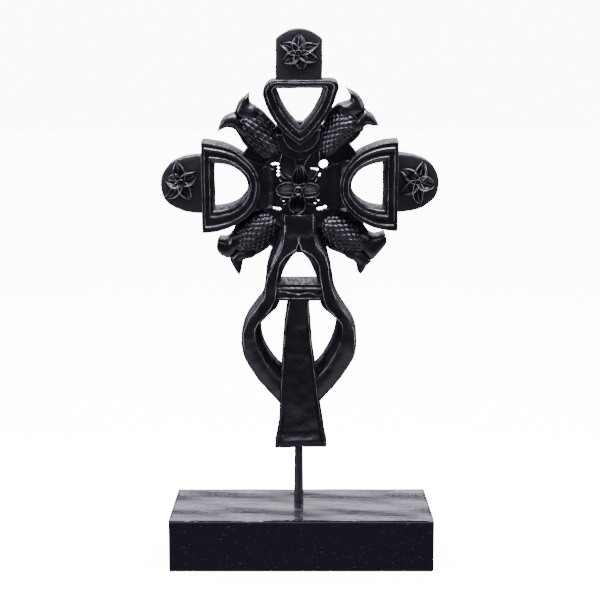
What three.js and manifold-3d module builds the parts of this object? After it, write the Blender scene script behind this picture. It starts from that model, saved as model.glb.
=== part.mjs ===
// A carved wooden cross that stands on a metal rod and a wooden block.
// Units are millimetres. +Z is up, +X is to the viewer's right, and the carved face looks along -Y.
// The origin is on the underside of the block, under the middle of the cross.
//
// The cross is cut from one board, so it is drawn as the carver sees it, lying on the bench:
// x runs across the board, y runs up it from the height of the block's top, and z rises out of
// its back towards the viewer. The whole board is then stood up and leaned forward.
import * as THREE from 'three';
import { mergeVertices } from 'three/addons/utils/BufferGeometryUtils.js';
import Module from 'manifold-3d';

const wasm = await Module();
wasm.setup();

// The block and the rod
const BLOCK_WIDTH = 196;
const BLOCK_DEPTH = 84;
const BLOCK_HEIGHT = 39.6;
const BLOCK_EDGE = 0.8;
const BLOCK_SHIFT = 1.2;
const ROD_BEHIND_MIDDLE = 14;
const ROD_SHIFT = -0.8;
const ROD_FOOT_RADIUS = 4;
const ROD_HEAD_RADIUS = 2.8;
const ROD_IN_BLOCK = 20;
const ROD_IN_LEG = 18;
const ROD_SIDES = 24;
const CLEARANCE = 0.3;

// The board
const LEAN = THREE.MathUtils.degToRad(6.3);
const BOARD = 26;
const SAW_ALLOWANCE = 6;
const CROSS_MIDDLE = 244;

// Heights of the carved levels above the board's back
const TAB_LEVEL = 15.5;
const NECK_LEVEL = 17.5;
const WEB_LEVEL = 20;
const CUP_LEVELS = [21.4, 23];
const BUD_SIDE_LEVEL = 14;
const BUD_CROWN_LEVEL = 24.6;
const BUD_SUNK_LEVEL = 8;
const HORN_LEVEL = 20;

// The two D frames and the tabs beyond them: -1 is the left side and 1 the right side
const D_FRAMES = [
  { side: -1, bar: 71.4, reach: 42.8, half: 33.2, middle: 245.6 },
  { side: 1, bar: 71.4, reach: 42.4, half: 32.8, middle: 246.6 },
];
const D_HOLES = [
  { side: -1, bar: 62.6, reach: 24.8, half: 17, middle: 246.6 },
  { side: 1, bar: 61.2, reach: 23.4, half: 17, middle: 247 },
];
const SIDE_TABS = [
  { side: -1, root: 71, reach: 30.6, low: 225.6, middle: 247, high: 268 },
  { side: 1, root: 71, reach: 30.6, low: 226.8, middle: 248, high: 269 },
];
const TAB_FULLNESS = 0.64;
const TOP_TAB = { left: -17.2, right: 16.2, foot: 318, shoulder: 351.2, arch: 23 };

// The triangular frame
const TRIANGLE = { top: 323.2, left: [-26.6, 10.5], right: [28, 5.5], apex: 277, bulge: [19.6, 289] };
const TRIANGLE_HOLE = { top: 317.2, left: [-16.6, 0.8], right: [16.2, 0.8], apex: 290.4, bulge: [12.8, 301] };

// The web behind the centre flower and its four drilled holes
const WEB_RADIUS = 31;
const BACKING = { radius: 48.4, level: 14, clear: 3 };
const WEB_HOLE_RADIUS = 3.7;
const WEB_HOLE_PLACES = [[-16.8, 258.8], [17.2, 260.8], [-17.2, 228.4], [16.6, 228.8]];
const NECK = { inner: 20, outer: 34, low: 231.4, high: 262 };
const CUPS = [{ apex: 266.4, half: 17, top: 284 }, { apex: 271.6, half: 16.4, top: 287 }];

// The buds. A place on a bud is (distance out from its root, distance to the side). The minus and the
// plus side run from the root to the tip of a horn, and the end runs from tip to tip over the notch.
const CROWN = { length: 38, rows: 10, sides: 18, scaleDepth: 0.8, inset: 0.3 };
const HORNS_FROM = 31;
const BUDS = [
  { root: [-15.8, 268], angle: 134, flipped: true,
    minus: [[0, -9], [9, -11.8], [17, -12.4], [24.9, -11.7], [31, -10.2], [35, -9.1], [38.4, -10.2],
      [41.4, -13], [43.2, -19.4]],
    end: [[43.2, -19.4], [46, -14.3], [47, -10.1], [46.2, -6], [43.8, -1], [46.2, 2.5], [47.5, 7.6],
      [47.2, 12], [47, 16.5]],
    plus: [[0, 9], [9, 12.2], [16.7, 13.3], [23.6, 13.7], [30.3, 13.8], [35.4, 12.8], [39.4, 11.6],
      [41.8, 11.8], [44, 13.2], [47, 16.5]] },
  { root: [14.9, 269], angle: 49, flipped: false,
    minus: [[0, -9], [8, -9.9], [16.2, -11], [22.7, -12.2], [28.2, -12.6], [32.8, -11.9], [36.4, -10.9],
      [39.2, -12.4], [41, -15.4], [44, -17.8]],
    end: [[44, -17.8], [45.6, -14.4], [46.3, -10.5], [45.8, -6.5], [45.6, -3], [48.4, 1], [49.7, 4.9],
      [50, 9.5], [48.4, 17.2]],
    plus: [[0, 9], [9, 11.6], [20.3, 12.8], [24, 14.3], [28, 14.9], [33.6, 14.1], [38.3, 12.1], [42.2, 9.6],
      [44.8, 9.8], [46.3, 12], [48.4, 17.2]] },
  { root: [-18.1, 225.4], angle: 226, flipped: false,
    minus: [[0, -9], [10, -12.9], [18, -15], [23.8, -15.4], [27.9, -14.4], [32.8, -12.5], [36.6, -12.1],
      [39.7, -13.6], [42.3, -16.3], [45.4, -15.8]],
    end: [[45.4, -15.8], [47.7, -14.2], [49.5, -11.1], [49.4, -6.4], [46.9, -1.1], [49, 2.2], [50.6, 7],
      [51.5, 12.5]],
    plus: [[0, 9], [10, 12.9], [21.9, 14.1], [24.3, 14], [29.1, 13], [34.1, 11.2], [38.6, 8.4], [41.4, 7.3],
      [44, 8.6], [48, 11], [51.5, 12.5]] },
  { root: [15.9, 222.8], angle: 319, flipped: true,
    minus: [[0, -9], [10, -13], [18, -15.4], [23, -16], [27.2, -15.8], [31.6, -14.5], [35.5, -13.7],
      [38.5, -14.8], [41, -17.4], [43.6, -21.2]],
    end: [[43.6, -21.2], [47.1, -19.3], [49.2, -16.1], [49.6, -8], [48.4, -0.4], [49, 5], [49.8, 9.2],
      [49.5, 13.1]],
    plus: [[0, 9], [10, 13], [19.9, 14.4], [24, 13.3], [28.6, 11.8], [33.2, 10.3], [38, 8.7], [41, 8.5],
      [44.1, 10.4], [46.4, 12.4], [49.5, 13.1]] },
];

// The A frame, the loop and the leg
const A_TOP = 230;
const A_FOOT = 160;
const A_SIDE = [[14.5, 213], [17.8, 204], [21.4, 197.4], [23.6, 187.5], [24.8, 177], [26.6, 165.5]];
const A_HOLE = { apex: 199.6, foot: 174.8, half: 13.8, bulge: [10.2, 190] };
const A_SHIFT = -0.6;
const LOOP_TOP = 172;
const LOOP_SIDE = [
  [28, 162], [33, 156], [39.2, 147], [42.8, 137], [43.2, 125], [40.2, 113.6], [30, 97.6], [16.6, 82],
];
const LOOP_SHIFT = -0.5;
const LOOP_FOOT = 65;
const LOOP_HOLE = { top: 162.2, foot: 97 };
const LOOP_HOLE_LEFT = [
  [13.6, 162.2], [16, 155.4], [22.8, 149], [27.8, 143.6], [28.8, 137], [26.6, 126.4], [21, 116], [13.4, 107],
];
const LOOP_HOLE_RIGHT = [
  [14.6, 162.2], [16.8, 155.8], [23.6, 150], [28, 144.8], [26.8, 134], [21.4, 121], [14, 110],
];
const LEG_TOP = 170;
const LEG_LEFT = [[-8.6, 162], [-11.6, 141], [-14.4, 101], [-15.2, 76], [-16.6, 59]];
const LEG_RIGHT = [[6.9, 162], [8.6, 135], [12.2, 104], [15.2, 80], [18, 61]];
const LEG_FOOT = [[-19.2, 45.4], [20.6, 46.6]];
const LEG_LEVELS = { side: 24, panel: BOARD, inset: 3.4 };

const point = (x, y) => new THREE.Vector2(x, y);
const points = (pairs) => pairs.map(([x, y]) => point(x, y));
const mirrored = (line) => line.map((place) => point(-place.x, place.y)).reverse();
const straight = (from, to) => new THREE.LineCurve(point(...from), point(...to));
const bow = (from, pull, to) => new THREE.QuadraticBezierCurve(point(...from), point(...pull), point(...to));
const flowing = (pairs) => new THREE.SplineCurve(points(pairs));

// Samples joined curves, each by its own count of steps, into one closed outline.
function outlineOf(curves) {
  return curves.flatMap(([curve, steps]) => curve.getSpacedPoints(steps).slice(0, steps));
}

// Makes a solid of a closed geometry: its shared corners are merged and empty triangles dropped.
function solidOf(geometry) {
  const bare = geometry.clone();
  bare.deleteAttribute('normal');
  bare.deleteAttribute('uv');
  const merged = mergeVertices(bare, 1e-4);
  const corners = merged.index.array;
  const kept = [];
  for (let i = 0; i < corners.length; i += 3) {
    const [a, b, c] = [corners[i], corners[i + 1], corners[i + 2]];
    if (a !== b && b !== c && c !== a) kept.push(a, b, c);
  }
  const vertProperties = new Float32Array(merged.attributes.position.array);
  return new wasm.Manifold(new wasm.Mesh({ numProp: 3, vertProperties, triVerts: new Uint32Array(kept) }));
}

function geometryOf(solid) {
  const mesh = solid.getMesh();
  const geometry = new THREE.BufferGeometry();
  geometry.setAttribute('position', new THREE.BufferAttribute(mesh.vertProperties, 3));
  geometry.setIndex(new THREE.BufferAttribute(mesh.triVerts, 1));
  geometry.computeVertexNormals();
  return geometry;
}

// Turns the faces of a geometry over, for a form that was built as a mirror image.
function turnedOver(geometry) {
  const index = geometry.index;
  for (let i = 0; i < index.count; i += 3) {
    const first = index.getX(i);
    index.setX(i, index.getX(i + 2));
    index.setX(i + 2, first);
  }
  return geometry;
}

// Saws an outline out of the board up to a level, with an eased front edge. It starts behind the
// board's back, which is planed flat once everything is joined.
function sawn(outline, level, edge = 0.8) {
  const geometry = new THREE.ExtrudeGeometry(new THREE.Shape(outline), {
    depth: level + SAW_ALLOWANCE - 2 * edge,
    bevelEnabled: true,
    bevelThickness: edge,
    bevelSize: edge,
    bevelOffset: -edge,
    bevelSegments: 1,
  });
  geometry.translate(0, 0, edge - SAW_ALLOWANCE);
  return solidOf(geometry);
}

// Carves a moulded ring between an outer and an inner outline of as many points. It is turned as a
// plain ring first, then each point is moved to its share of the way from the outer line to the inner.
function mouldedRing(outer, inner, moulding) {
  const profile = [[0, -SAW_ALLOWANCE], [1, -SAW_ALLOWANCE], ...moulding, [0, -SAW_ALLOWANCE]];
  const section = profile.map(([share, level]) => point(1 + share, level));
  const ring = new THREE.LatheGeometry(section, outer.length);
  const corners = ring.attributes.position;
  for (let step = 0; step <= outer.length; step += 1) {
    const from = outer[step % outer.length];
    const to = inner[step % outer.length];
    profile.forEach(([share, level], row) => {
      const place = from.clone().lerp(to, share);
      corners.setXYZ(step * profile.length + row, place.x, place.y, level);
    });
  }
  const solid = solidOf(ring);
  return solid.volume() > 0 ? solid : solidOf(turnedOver(ring));
}

// The moulding of the frames, from the inner edge to the outer one: three bands with two crisp steps
const FRAME_MOULDING = [
  [1, 22.6], [0.94, 24], [0.74, 24.8], [0.7, 25.6], [0.34, 24.6], [0.29, BOARD], [0.06, 25.4], [0, 24],
];

function dOutline(side, { bar, reach, half, middle }) {
  const edge = straight([-bar, middle - half], [-bar, middle + half]);
  const curve = new THREE.EllipseCurve(-bar, middle, reach, half, Math.PI / 2, -Math.PI / 2, true);
  const line = outlineOf([[edge, 3], [curve, 26]]);
  return side < 0 ? line : line.map((place) => point(-place.x, place.y));
}

function dFrame(frame, i) {
  return mouldedRing(dOutline(frame.side, frame), dOutline(frame.side, D_HOLES[i]), FRAME_MOULDING);
}

function triangleOutline({ top, left, right, apex, bulge }) {
  const half = ([end, corner]) => {
    const sign = Math.sign(end);
    const rounded = bow([end - sign * corner, top], [end, top], [end, top - corner]);
    const side = bow([end, top - corner], [sign * bulge[0], bulge[1]], [0, apex]);
    return [...rounded.getPoints(3).slice(0, 3), ...side.getPoints(8)];
  };
  return [...half(right), ...half(left).reverse().slice(1)];
}

function triangleFrame() {
  return mouldedRing(triangleOutline(TRIANGLE), triangleOutline(TRIANGLE_HOLE), FRAME_MOULDING);
}

// A tab with a round end, sawn thinner than the frames
function sideTab({ side, root, reach, low, middle, high }) {
  const quarter = (edge) => new THREE.CubicBezierCurve(
    point(side * root, edge),
    point(side * (root + TAB_FULLNESS * reach), edge),
    point(side * (root + reach), middle + TAB_FULLNESS * (edge - middle)),
    point(side * (root + reach), middle),
  );
  const line = [...quarter(low).getPoints(8), ...quarter(high).getPoints(8).reverse().slice(1)];
  return sawn(side > 0 ? line : line.reverse(), TAB_LEVEL);
}

function topTab() {
  const { left, right, foot, shoulder, arch } = TOP_TAB;
  const middle = (left + right) / 2;
  const spread = Math.asin((right - left) / 2 / arch);
  const low = shoulder - arch * Math.cos(spread);
  const end = new THREE.EllipseCurve(middle, low, arch, arch, Math.PI / 2 - spread, Math.PI / 2 + spread);
  return sawn([point(left, foot), point(right, foot), ...end.getPoints(8)], TAB_LEVEL);
}

// A petal is a pointed seed form, flattened and laid out from the middle of its flower.
function petal([x, y], angle, length, width, base, rise) {
  const section = [[0, 0], [0.34, 0.14], [0.5, 0.42], [0.36, 0.76], [0, 1]].map(([r, u]) => point(r, u));
  const form = new THREE.LatheGeometry(section, 8);
  form.scale(width, length, 2 * rise);
  form.rotateX(THREE.MathUtils.degToRad(8));
  form.rotateZ(THREE.MathUtils.degToRad(angle - 90));
  form.translate(x, y, base);
  return solidOf(form);
}

function button([x, y], radius, base, top) {
  const form = new THREE.CylinderGeometry(radius * 0.7, radius, top - base, 10);
  form.rotateX(Math.PI / 2);
  form.translate(x, y, (top + base) / 2);
  return solidOf(form);
}

function flower(place, base, top, radius, petals) {
  const rise = top - base - 1;
  const leaves = petals.map(([angle, length, width]) => petal(place, angle, length, width, base, rise));
  return [...leaves, button(place, radius, base - 1, top)];
}

const LEFT_FLOWER = [[105, 15, 8], [162, 13, 8], [215, 15, 8], [292, 14, 8], [30, 14, 8]];
const RIGHT_FLOWER = [[66, 16, 8], [356, 14, 8], [290, 16, 8], [212, 14, 8], [140, 15, 8]];
const TOP_FLOWER = [[90, 14, 9], [145, 14, 8], [214, 13, 8], [272, 12, 8], [330, 13, 8], [26, 14, 8]];
const CENTRE_FLOWER = [[90, 19, 13], [180, 16, 13], [270, 16.5, 13], [0, 16, 13]];
const CENTRE_LEAVES = [[132, 20, 6], [48, 20, 6], [228, 20, 6], [312, 20, 6]];

// A bud's outline from a distance out to the tips of its two curled horns
function budOutline({ minus, end, plus }, from, steps) {
  const beyond = (side) => flowing(side.filter(([out]) => out >= from)).getPoints(steps);
  const back = beyond(plus).slice(0, -1).reverse();
  return [...beyond(minus).slice(0, -1), ...flowing(end).getPoints(11), ...back];
}

function sideAt(side, out) {
  const next = side.findIndex(([at]) => at > out);
  const [[a, low], [b, high]] = [side[next - 1], side[next]];
  return low + ((high - low) * (out - a)) / (b - a);
}

// The crown of a bud is turned like a barrel, with every other corner raised, and its faces folded
// along the low corners, so that crossing grooves leave rows of scales.
function budCrown({ minus, plus }) {
  const { length, rows, sides, scaleDepth, inset } = CROWN;
  const section = [point(0, -1)];
  const middles = [0];
  for (let row = 0; row <= rows; row += 1) {
    const out = (row / rows) * length;
    const [low, high] = [sideAt(minus, out), sideAt(plus, out)];
    section.push(point((high - low) / 2 - inset, out));
    middles.push((high + low) / 2);
  }
  section.push(point(0, length + 2));
  middles.push(middles[rows + 1]);
  const form = new THREE.LatheGeometry(section, sides);
  const corners = form.attributes.position;
  const last = section.length - 1;
  for (let side = 0; side <= sides; side += 1) {
    for (let row = 0; row <= last; row += 1) {
      const i = side * section.length + row;
      const raised = (side + row) % 2 === 0 || row === 0 || row === last ? 0 : -2 * scaleDepth;
      const share = raised === 0 ? 1 : (section[row].x + raised) / section[row].x;
      corners.setXYZ(i, corners.getX(i) * share - middles[row], corners.getY(i), corners.getZ(i) * share);
    }
  }
  const faces = [];
  for (let side = 0; side < sides; side += 1) {
    for (let row = 0; row < last; row += 1) {
      const a = side * section.length + row;
      const b = a + section.length;
      if ((side + row) % 2 === 0) faces.push(a, b, a + 1, b + 1, a + 1, b);
      else faces.push(a, b, b + 1, b + 1, a + 1, a);
    }
  }
  form.setIndex(faces);
  form.rotateZ(-Math.PI / 2);
  const middleHalf = Math.max(...section.map((place) => place.x));
  form.scale(1, 1, (BUD_CROWN_LEVEL - BUD_SUNK_LEVEL) / middleHalf);
  form.translate(0, 0, BUD_SUNK_LEVEL);
  return solidOf(form);
}

function bud(place) {
  const { root, angle, flipped } = place;
  const whole = sawn(budOutline(place, 0, 14), BUD_SIDE_LEVEL, 1)
    .add(sawn(budOutline(place, HORNS_FROM, 8), HORN_LEVEL, 0.9))
    .add(budCrown(place));
  return whole.scale([1, flipped ? -1 : 1, 1]).rotate([0, 0, angle]).translate([root[0], root[1], 0]);
}

// The cup below the triangular frame: a rounded V that steps down to the centre flower
function cup({ apex, half, top }, level) {
  const right = bow([0, apex], [half * 0.72, apex + 2.4], [half, top]).getPoints(7);
  return sawn([...mirrored(right), ...right.slice(1)], level, 0.9);
}

function web() {
  const disc = (radius, level, steps) => {
    const edge = new THREE.EllipseCurve(0, CROSS_MIDDLE, radius, radius);
    return sawn(edge.getPoints(steps).slice(0, steps), level);
  };
  let solid = disc(WEB_RADIUS, WEB_LEVEL, 28);
  for (const side of [-1, 1]) {
    const { inner, outer, low, high } = NECK;
    const recess = new THREE.BoxGeometry(outer - inner, high - low, BOARD);
    recess.translate((side * (inner + outer)) / 2, (low + high) / 2, NECK_LEVEL + BOARD / 2);
    solid = solid.subtract(solidOf(recess));
  }
  let backing = disc(BACKING.radius, BACKING.level, 36);
  for (const { side, bar, reach, half, middle } of D_HOLES) {
    const wider = { bar, reach: reach + BACKING.clear, half: half + BACKING.clear, middle };
    backing = backing.subtract(sawn(dOutline(side, wider), BOARD));
  }
  return solid.add(backing);
}

function webHole([x, y]) {
  const drill = new THREE.CylinderGeometry(WEB_HOLE_RADIUS, WEB_HOLE_RADIUS, 3 * BOARD, 12);
  drill.rotateX(Math.PI / 2);
  drill.translate(x, y, 0);
  return solidOf(drill);
}

// The A frame and the loop have a sloping outer band, a crowned band and a sloping inner one.
const A_MOULDING = [[1, 19], [0.68, 24.4], [0.32, 24.4], [0, 18]];
const LOOP_MOULDING = [[1, 6], [0.9, 18], [0.76, 20.4], [0.62, 23], [0.34, 23.4], [0.13, 20.6], [0, 18]];

function aOutline() {
  const side = flowing([[14.5, A_TOP], ...A_SIDE, [28, A_FOOT]]);
  const right = [point(0, A_TOP), ...side.getSpacedPoints(13), point(9, A_FOOT), point(0, A_FOOT)];
  return [...right, ...mirrored(right).slice(1, -1)];
}

function aHoleOutline() {
  const { apex, foot, half, bulge } = A_HOLE;
  const side = bow([0, apex], bulge, [half, foot]);
  const right = [point(0, apex), ...side.getPoints(14).slice(1), point(half / 3, foot), point(0, foot)];
  return [...right, ...mirrored(right).slice(1, -1)];
}

function loopOutline() {
  const side = flowing([[26, LOOP_TOP], ...LOOP_SIDE, [0, LOOP_FOOT]]);
  const right = [point(0, LOOP_TOP), ...side.getSpacedPoints(20)];
  return [...right, ...mirrored(right).slice(1, -1)];
}

function loopHoleOutline() {
  const { top, foot } = LOOP_HOLE;
  const right = flowing([...LOOP_HOLE_RIGHT, [0, foot]]).getSpacedPoints(20);
  const left = flowing([...LOOP_HOLE_LEFT, [0, foot]]).getSpacedPoints(20);
  return [point(0, top), ...right, ...mirrored(left).slice(1)];
}

function leg() {
  const [footLeft, footRight] = LEG_FOOT;
  const outline = (inset) => [
    ...flowing(LEG_LEFT.map(([x, y]) => [x + inset, y])).getSpacedPoints(6),
    point(footLeft[0] + inset, footLeft[1] + inset),
    point(footRight[0] - inset, footRight[1] + inset),
    ...flowing(LEG_RIGHT.map(([x, y]) => [x - inset, y])).getSpacedPoints(6).reverse(),
    point(LEG_RIGHT[0][0] - inset, LEG_TOP - inset),
    point(LEG_LEFT[0][0] + inset, LEG_TOP - inset),
  ];
  return [sawn(outline(0), LEG_LEVELS.side, 0.6), sawn(outline(LEG_LEVELS.inset), LEG_LEVELS.panel, 1.6)];
}

function rodSolid(extra) {
  const length = ROD_IN_BLOCK + LEG_FOOT[0][1] + ROD_IN_LEG + 2 * extra;
  const rod = new THREE.CylinderGeometry(ROD_HEAD_RADIUS + extra, ROD_FOOT_RADIUS + extra, length, ROD_SIDES);
  rod.translate(ROD_SHIFT, length / 2 - ROD_IN_BLOCK - extra, BOARD / 2);
  return rod;
}

// Joins everything that is carved from the board, planes its back and drills the leg for the rod.
function crossGeometry() {
  const parts = [
    ...D_FRAMES.map(dFrame),
    triangleFrame(),
    ...SIDE_TABS.map(sideTab),
    topTab(),
    web(),
    ...CUPS.map((place, i) => cup(place, CUP_LEVELS[i])),
    ...BUDS.map(bud),
    mouldedRing(aOutline(), aHoleOutline(), A_MOULDING).translate([A_SHIFT, 0, 0]),
    mouldedRing(loopOutline(), loopHoleOutline(), LOOP_MOULDING).translate([LOOP_SHIFT, 0, 0]),
    ...leg(),
    ...flower([-86.4, 248], TAB_LEVEL - 0.5, TAB_LEVEL + 5, 2.6, LEFT_FLOWER),
    ...flower([84.8, 248.6], TAB_LEVEL - 0.5, TAB_LEVEL + 5, 2.6, RIGHT_FLOWER),
    ...flower([-0.4, 341.4], TAB_LEVEL - 0.5, TAB_LEVEL + 5, 2.6, TOP_FLOWER),
    ...flower([-0.8, CROSS_MIDDLE - 0.6], WEB_LEVEL - 0.5, BOARD, 3, [...CENTRE_FLOWER, ...CENTRE_LEAVES]),
  ];
  let solid = parts.reduce((whole, part) => whole.add(part));
  for (const place of WEB_HOLE_PLACES) solid = solid.subtract(webHole(place));
  const behind = new THREE.BoxGeometry(400, 800, 2 * SAW_ALLOWANCE);
  behind.translate(0, CROSS_MIDDLE, -SAW_ALLOWANCE);
  solid = solid.subtract(solidOf(behind));
  return geometryOf(solid.subtract(solidOf(rodSolid(CLEARANCE))));
}

const board = new THREE.Group();
board.position.set(0, ROD_BEHIND_MIDDLE, BLOCK_HEIGHT);
board.rotation.x = Math.PI / 2 + LEAN;

const cross = new THREE.Mesh(
  crossGeometry(), new THREE.MeshStandardMaterial({ color: '#16151b', roughness: 0.32, metalness: 0 }));
cross.name = 'cross';
cross.position.z = -BOARD / 2;

const rod = new THREE.Mesh(
  rodSolid(0), new THREE.MeshStandardMaterial({ color: '#1b1b1e', roughness: 0.45, metalness: 0.7 }));
rod.name = 'rod';
rod.position.z = -BOARD / 2;
board.add(cross, rod);
board.updateMatrixWorld(true);

// The block is a plain solid with eased edges and a blind hole for the rod.
function blockGeometry() {
  const half = { x: BLOCK_WIDTH / 2, y: BLOCK_DEPTH / 2 };
  const plan = points([[-half.x, -half.y], [half.x, -half.y], [half.x, half.y], [-half.x, half.y]]);
  const block = new THREE.ExtrudeGeometry(new THREE.Shape(plan), {
    depth: BLOCK_HEIGHT - 2 * BLOCK_EDGE,
    bevelEnabled: true,
    bevelThickness: BLOCK_EDGE,
    bevelSize: BLOCK_EDGE,
    bevelOffset: -BLOCK_EDGE,
    bevelSegments: 1,
  });
  block.translate(BLOCK_SHIFT, 0, BLOCK_EDGE);
  const hole = rodSolid(CLEARANCE).applyMatrix4(rod.matrixWorld);
  return geometryOf(solidOf(block).subtract(solidOf(hole)));
}

const block = new THREE.Mesh(
  blockGeometry(), new THREE.MeshStandardMaterial({ color: '#14131c', roughness: 0.3, metalness: 0 }));
block.name = 'base_block';

const object = new THREE.Group();
object.add(block, board);

export default object;
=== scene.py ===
import math

import bpy
import numpy as np
from mathutils import Matrix, Vector


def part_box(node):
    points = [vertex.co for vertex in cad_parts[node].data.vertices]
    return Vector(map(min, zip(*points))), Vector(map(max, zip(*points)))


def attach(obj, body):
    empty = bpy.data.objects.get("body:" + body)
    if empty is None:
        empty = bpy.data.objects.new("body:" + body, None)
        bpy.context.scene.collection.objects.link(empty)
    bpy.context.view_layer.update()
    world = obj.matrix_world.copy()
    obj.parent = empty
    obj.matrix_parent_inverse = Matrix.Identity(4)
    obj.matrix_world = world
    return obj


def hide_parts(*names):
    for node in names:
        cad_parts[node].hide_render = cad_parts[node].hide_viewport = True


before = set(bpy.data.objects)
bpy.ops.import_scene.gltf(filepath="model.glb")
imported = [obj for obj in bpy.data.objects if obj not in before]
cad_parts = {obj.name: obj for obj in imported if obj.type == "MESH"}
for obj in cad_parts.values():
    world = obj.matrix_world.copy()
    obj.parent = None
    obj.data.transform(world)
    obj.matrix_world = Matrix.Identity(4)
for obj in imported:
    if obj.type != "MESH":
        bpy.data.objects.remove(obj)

bl_info = {
    "name": "Carved Wooden Cross",
    "version": (1, 0, 0),
    "blender": (4, 5, 0),
    "location": "3D View > Sidebar > Cross",
    "description": "Carves a black wooden cross and stands it on its rod and block",
    "category": "Add Mesh",
}

# Carving is laid out in millimetres on a board lying on the bench: x runs across it, y runs up it
# from the height of the block's top, and z rises from its back towards the viewer.
BOARD = 26.0
CROSS_MIDDLE = 244
TAB_GROUND = 15.5
TAB_ROOT = 71
FLOWER_BASE = 15
PETAL_RISE = 4.4
SEED_RADIUS = 2.7
SEED_HEIGHT = 5.6

# The rod stands beside the board's middle line, and starts inside the block.
ROD_SHIFT = -0.8
ROD_SUNK = 19.5
ROD_LENGTH = 82

# The stage, in metres.
STAGE_SIZE = 60
BACKDROP_AT = 28

TO_MILLIMETRES = 1000
TO_METRES = 0.001
BLOCK_LOW, BLOCK_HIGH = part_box("base_block")


# Sizes and colours

class CrossSizes(bpy.types.PropertyGroup):
    lean: bpy.props.FloatProperty(
        name="Lean", description="How far the board leans towards the viewer",
        default=math.radians(6.3), unit='ROTATION')
    behind: bpy.props.FloatProperty(
        name="Set back", description="Distance of the rod's foot behind the middle of the block",
        default=0.014, unit='LENGTH')
    wobble: bpy.props.FloatProperty(
        name="Hand wobble", description="How far the knife strays from the drawn lines",
        default=0.0005, unit='LENGTH')
    scale_depth: bpy.props.FloatProperty(
        name="Scale depth", description="How deep the scales of the buds are cut",
        default=0.0018, unit='LENGTH')


class StandSizes(bpy.types.PropertyGroup):
    width: bpy.props.FloatProperty(
        name="Block width", description="Length of the block along its front",
        default=BLOCK_HIGH.x - BLOCK_LOW.x, unit='LENGTH')
    depth: bpy.props.FloatProperty(
        name="Block depth", description="Depth of the block from front to back",
        default=BLOCK_HIGH.y - BLOCK_LOW.y, unit='LENGTH')
    height: bpy.props.FloatProperty(
        name="Block height", description="Height of the block",
        default=BLOCK_HIGH.z, unit='LENGTH')
    rod_foot: bpy.props.FloatProperty(
        name="Rod foot", description="Radius of the rod where it meets the block",
        default=0.004, unit='LENGTH')
    rod_head: bpy.props.FloatProperty(
        name="Rod head", description="Radius of the rod where it enters the leg",
        default=0.0028, unit='LENGTH')


class FinishColours(bpy.types.PropertyGroup):
    stain: bpy.props.StringProperty(
        name="Stain", description="Hex colour of the black stain on the cross", default="#070709")
    stain_worn: bpy.props.StringProperty(
        name="Thin stain", description="Hex colour where the stain lies thinner", default="#0c0c10")
    # A pale colour painted on sharp crests: a painted highlight in place of the line of light that a crest
    # catches.
    painted_highlight: bpy.props.StringProperty(
        name="Painted crest highlight", description="Hex colour where crests are rubbed", default="#c4c3c2")
    block_stain: bpy.props.StringProperty(
        name="Block stain", description="Hex colour of the block", default="#0c0c12")
    pore: bpy.props.StringProperty(
        name="Pores", description="Hex colour of the dust in the block's open pores", default="#5b5966")
    rod_black: bpy.props.StringProperty(
        name="Rod", description="Hex colour of the blackened rod", default="#0b0b0e")
    polish: bpy.props.FloatProperty(
        name="Polish", description="Roughness of the waxed wood", default=0.26, min=0, max=1,
        subtype='FACTOR')


class StageSettings(bpy.types.PropertyGroup):
    lens: bpy.props.FloatProperty(
        name="Lens", description="Focal length on a 36 mm sensor, in millimetres", default=79.33)
    pitch: bpy.props.FloatProperty(
        name="Pitch", description="How far the camera looks down",
        default=math.radians(7.874), unit='ROTATION')
    distance: bpy.props.FloatProperty(
        name="Distance", description="Distance of the camera in front of the origin",
        default=0.9841, unit='LENGTH')
    height: bpy.props.FloatProperty(
        name="Height", description="Height of the camera above the floor",
        default=0.3337, unit='LENGTH')
    glow: bpy.props.FloatProperty(
        name="Glow", description="Light that comes through the white floor and backdrop",
        default=11.0, min=0)


# Lines drawn on the board

def line(*pairs):
    return np.array(pairs, float)


def spaced(path, count):
    """The same path with count points at equal steps along it."""
    steps = np.hypot(*np.diff(path, axis=0).T)
    run = np.concatenate([[0], np.cumsum(steps)])
    places = np.linspace(0, run[-1], count)
    return np.stack([np.interp(places, run, path[:, k]) for k in range(2)], axis=1)


def flowing(pairs, count):
    """A smooth curve through every given point."""
    p = np.array(pairs, float)
    ends = np.vstack([2 * p[0] - p[1], p, 2 * p[-1] - p[-2]])
    fine = []
    for i in range(len(p) - 1):
        a, b, c, d = ends[i:i + 4]
        t = np.linspace(0, 1, 13)[:-1, None]
        fine.append(0.5 * (2 * b + (c - a) * t + (2 * a - 5 * b + 4 * c - d) * t**2
                           + (3 * b - a - 3 * c + d) * t**3))
    return spaced(np.vstack(fine + [p[-1:]]), count)


def bow(start, pull, end, count):
    """A single bend from start to end, drawn towards the pull."""
    a, b, c = (np.array(p, float) for p in (start, pull, end))
    t = np.linspace(0, 1, 40)[:, None]
    return spaced((1 - t)**2 * a + 2 * t * (1 - t) * b + t**2 * c, count)


def eased(profile, ease=0.22):
    """A moulding's profile with each corner cut twice, so that edges catch a thin line of light."""
    p = np.array(profile, float)
    out = [p[0]]
    for a, b, c in zip(p[:-2], p[1:-1], p[2:]):
        out += [b + (a - b) * ease, b * (1 - ease / 2) + (a + c) * ease / 4, b + (c - b) * ease]
    return np.array(out + [p[-1]])


# Shaping the mesh

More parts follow.
